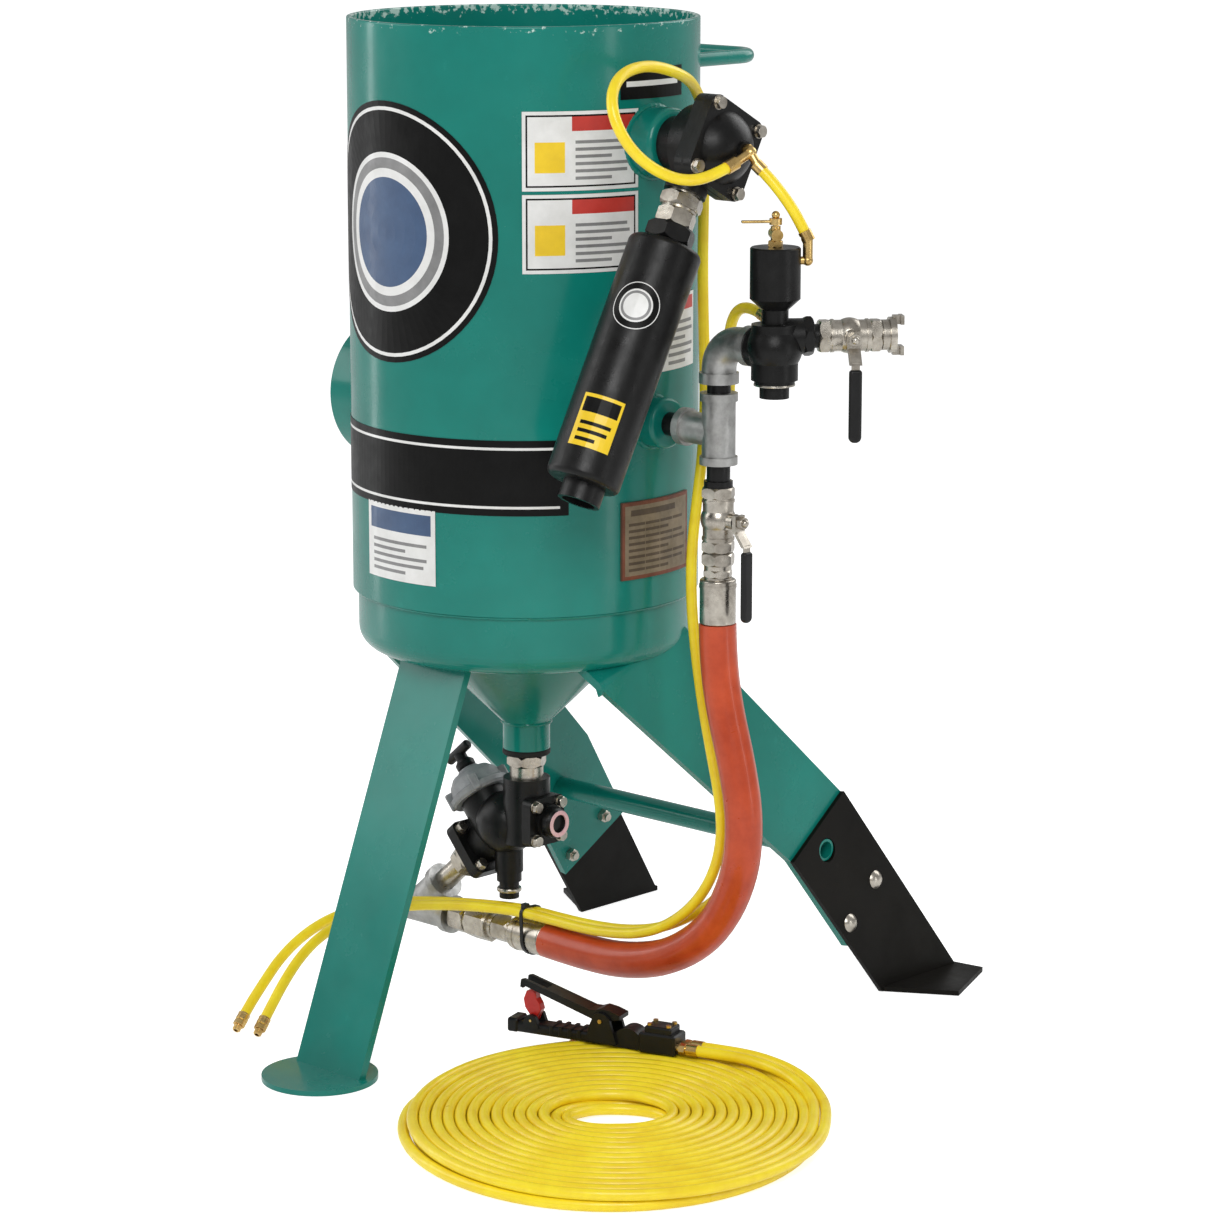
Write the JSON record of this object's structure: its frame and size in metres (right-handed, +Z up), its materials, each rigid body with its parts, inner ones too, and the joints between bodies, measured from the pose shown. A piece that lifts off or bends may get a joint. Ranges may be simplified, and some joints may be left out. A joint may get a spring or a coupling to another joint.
{
  "type": "abrasive blast pot",
  "caption": "Upright pressure blast pot on three splayed legs with air piping, exhaust silencer, metering valve and a coiled remote handle.",
  "frame": {"origin": "on the floor under the middle of the machine's footprint", "axes": "+Z up, -Y towards the front foot, +X towards the air piping"},
  "size_m": [0.9661, 1.0103, 1.1941],
  "materials": {
    "green_paint": "gloss",
    "black_paint": "satin",
    "black_cast": "satin",
    "bare_steel": "satin",
    "galvanised": "matte",
    "nickel": "satin",
    "cast_grey": "matte",
    "brass": "satin",
    "black_rubber": "matte",
    "black_vinyl": "satin",
    "black_plastic": "satin",
    "red_plastic": "gloss",
    "orange_hose": "satin",
    "yellow_hose": "satin",
    "brown_plate": "satin"
  },
  "bodies": {
    "frame": {"axle_tube": "green_paint", "blast_coupling": "cast_grey", "bleeder_cock": "brass", "bottom_head": "green_paint", "bottom_plugs": "black_cast", "choke_valve_body": "nickel", "claw_coupling": "nickel", "data_plate": "brown_plate", "deadman_base": "black_plastic", "deadman_fittings": "brass", "exhaust_union": "nickel", "flange_bolts": "nickel", "foot_bolts": "nickel", "foot_brackets": "black_paint", "front_leg": "green_paint", "handway_cover": "bare_steel", "handway_crab": "black_paint", "handway_ring": "green_paint", "hose_coil": "yellow_hose", "hose_couplings": "nickel", "hose_tips": "brass", "inlet_elbow": "galvanised", "inlet_tee": "galvanised", "inlet_valve_body": "black_cast", "inlet_valve_cylinder": "black_cast", "inner_air_pipe": "bare_steel", "main_valve_body": "nickel", "metering_body": "black_cast", "metering_bonnet": "cast_grey", "metering_nipple": "nickel", "metering_union": "nickel", "outlet_valve_body": "black_cast", "outlet_valve_bonnet": "black_cast", "outlet_valve_gasket": "black_rubber", "pilot_fittings": "brass", "pilot_hoses": "yellow_hose", "pipe_bosses": "green_paint", "pipe_nipples": "black_cast", "push_handle": "green_paint", "pusher_hose": "orange_hose", "pusher_wye": "galvanised", "rear_leg_left": "green_paint", "rear_leg_right": "green_paint", "seals": "black_rubber", "silencer": "black_cast", "top_head": "green_paint", "twin_leads": "yellow_hose", "vessel_shell": "green_paint"},
    "popup": {"popup_valve": "bare_steel"},
    "main_lever": {"main_valve_lever": "nickel", "main_valve_grip": "black_vinyl"},
    "choke_lever": {"choke_valve_lever": "nickel", "choke_valve_grip": "black_vinyl"},
    "bleeder": {"bleeder_handle": "brass"},
    "knob": {"metering_knob": "black_plastic"},
    "plunger": {"metering_plunger": "nickel"},
    "air_plunger": {"inlet_valve_plunger": "nickel"},
    "outlet_disc": {"outlet_valve_disc": "black_rubber"},
    "deadman_lever": {"deadman_lever": "black_plastic"},
    "safety_flap": {"safety_flap": "red_plastic"}
  },
  "joints": [
    {"name": "popup_slide", "type": "slide", "parent": "frame", "child": "popup", "axis": [0, 0, 1], "range_m": [0, 0.032]},
    {"name": "main_lever_turn", "type": "hinge", "parent": "frame", "child": "main_lever", "pos_m": [0.229, -0.0515, 0.645], "axis": [1, 0, 0], "range_deg": [0, 90]},
    {"name": "choke_lever_turn", "type": "hinge", "parent": "frame", "child": "choke_lever", "pos_m": [0.36435, 0.01208, 0.86], "axis": [0.766, -0.6428, 0], "range_deg": [0, 90]},
    {"name": "bleeder_turn", "type": "hinge", "parent": "frame", "child": "bleeder", "pos_m": [0.311, -0.0515, 0.983], "axis": [0, 0, 1], "range_deg": [0, 90]},
    {"name": "metering_knob_turn", "type": "hinge", "parent": "frame", "child": "knob", "pos_m": [-0.1495, -0.0515, 0.25675], "axis": [-0.6561, 0, 0.7547], "range_deg": [0, 270]},
    {"name": "metering_plunger_slide", "type": "slide", "parent": "frame", "child": "plunger", "axis": [-0.6561, 0, 0.7547], "range_m": [-0.0125, 0]},
    {"name": "air_plunger_slide", "type": "slide", "parent": "frame", "child": "air_plunger", "axis": [0, 0, 1], "range_m": [0, 0.009], "stiffness_N_per_m": 800, "springref_m": -0.003},
    {"name": "outlet_disc_slide", "type": "slide", "parent": "frame", "child": "outlet_disc", "axis": [1, 0, 0], "range_m": [-0.009, 0], "stiffness_N_per_m": 400, "springref_m": 0.004},
    {"name": "deadman_lever_turn", "type": "hinge", "parent": "frame", "child": "deadman_lever", "pos_m": [0.12915, -0.12928, 0.056], "axis": [0.2924, -0.9563, 0], "range_deg": [0, 12], "stiffness_Nm_per_rad": 1, "springref_deg": -8.59},
    {"name": "safety_flap_turn", "type": "hinge", "parent": "frame", "child": "safety_flap", "pos_m": [0.04117, -0.15617, 0.043], "axis": [0.2924, -0.9563, 0], "range_deg": [0, 45], "stiffness_Nm_per_rad": 0.01, "springref_deg": -17.19}
  ],
  "couplings": [
    {"joint": "metering_plunger_slide", "follows": "metering_knob_turn", "m_per_rad": -0.0025465}
  ]
}
